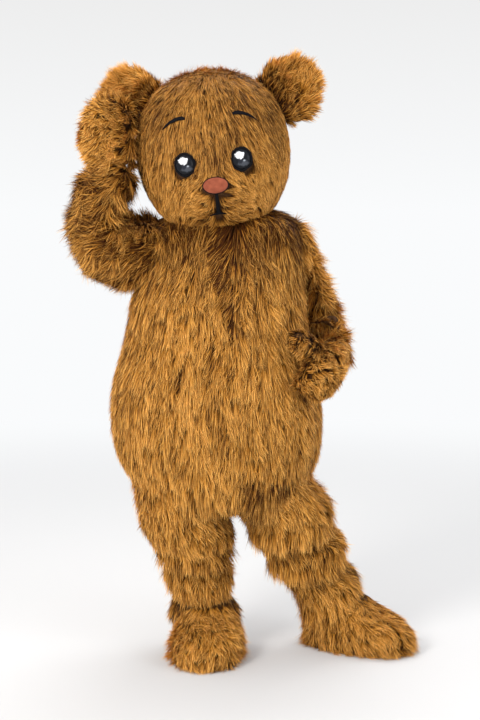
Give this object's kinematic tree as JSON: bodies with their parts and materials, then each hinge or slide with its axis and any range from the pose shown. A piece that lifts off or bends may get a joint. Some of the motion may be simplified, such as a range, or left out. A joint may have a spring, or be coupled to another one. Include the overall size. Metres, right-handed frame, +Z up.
{
  "type": "bear mascot costume",
  "caption": "Full-body bear mascot costume in long golden-brown fur fabric, worn and hollow: padded head with ears, suit, mittens and boot covers, a paw raised beside the ear.",
  "frame": {"origin": "between the wearer's shoulders, where the suit hangs, 1.400 m above the floor that the soles stand on", "axes": "+Z up, the costume faces -Y, its own left side is towards +X"},
  "size_m": [1.0859, 0.5385, 1.8619],
  "materials": {
    "long_fur": "long-pile fur fabric, lying pile in locks",
    "clipped_fur": "short clipped pile on a foam-backed shell",
    "sole_rubber": "matt, dark brown",
    "black_felt": "flat black felt",
    "eye_gloss": "domed, near black, high gloss",
    "nose_cloth": "smooth terracotta cloth over padding",
    "zip_tape": "dark brown zip and tape, closed"
  },
  "bodies": {
    "root": {"back_zip": "zip_tape", "boot_left": "long_fur", "boot_right": "long_fur", "brow_left": "black_felt", "brow_right": "black_felt", "ear_left_back": "long_fur", "ear_left_front": "long_fur", "ear_right_back": "long_fur", "ear_right_front": "long_fur", "eye_left": "eye_gloss", "eye_right": "eye_gloss", "head_back": "clipped_fur", "head_face": "clipped_fur", "leg_left": "long_fur", "leg_right": "long_fur", "mitten_left": "long_fur", "mitten_right": "long_fur", "mouth": "black_felt", "nose": "nose_cloth", "sleeve_left": "long_fur", "sleeve_right": "long_fur", "sole_left": "sole_rubber", "sole_right": "sole_rubber", "thumb_left": "long_fur", "thumb_right": "long_fur", "torso_back_left": "long_fur", "torso_back_right": "long_fur", "torso_front_left": "long_fur", "torso_front_right": "long_fur"}
  },
  "joints": []
}
